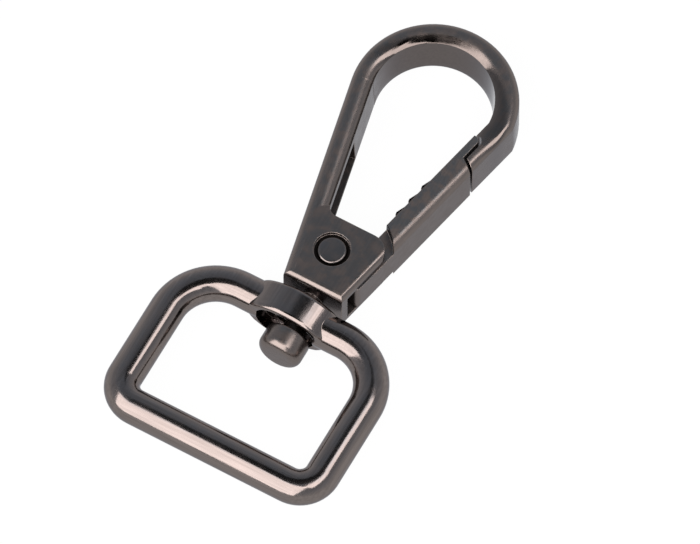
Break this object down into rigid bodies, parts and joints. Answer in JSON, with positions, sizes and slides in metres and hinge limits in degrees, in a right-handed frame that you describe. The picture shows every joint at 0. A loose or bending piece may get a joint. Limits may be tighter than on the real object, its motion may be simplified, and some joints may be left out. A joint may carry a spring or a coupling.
{
  "type": "swivel_snap_hook",
  "caption": "Small swivel snap hook with a teardrop hook, an inward-opening sprung gate and a rounded rectangular strap ring that turns on the hook's neck",
  "frame": {"origin": "middle of the part's bounding box in X and Y, on the flat surface that its back lies on", "axes": "+Y runs along the part towards the round top of the hook, +Z comes out of the front face with the staked pin, +X points to the gate's side"},
  "size_m": [0.0236, 0.0485, 0.0054],
  "materials": {
    "hook_metal": "satin black-nickel plating on a zinc casting",
    "gate_metal": "satin black-nickel plating on a zinc casting",
    "pin_steel": "satin black-nickel plating on steel",
    "spring_steel": "bright spring wire",
    "ring_metal": "glossy black-nickel plating on a zinc casting"
  },
  "bodies": {
    "hook": {"hook_body": "hook_metal", "pivot_pin": "pin_steel", "gate_spring": "spring_steel"},
    "gate": {"gate": "gate_metal"},
    "ring": {"strap_ring": "ring_metal"}
  },
  "joints": [
    {"name": "gate_hinge", "type": "hinge", "parent": "hook", "child": "gate", "pos_m": [0.0005, -0.00135, 0.0027], "axis": [0, 0, 1], "range_deg": [0, 32], "stiffness_Nm_per_rad": 0.012, "springref_deg": -28.65, "deforming": ["gate_spring"]},
    {"name": "ring_swivel", "type": "hinge", "parent": "hook", "child": "ring", "pos_m": [0.00075, -0.00767, 0.0027], "axis": [0, 1, 0], "continuous": true}
  ]
}
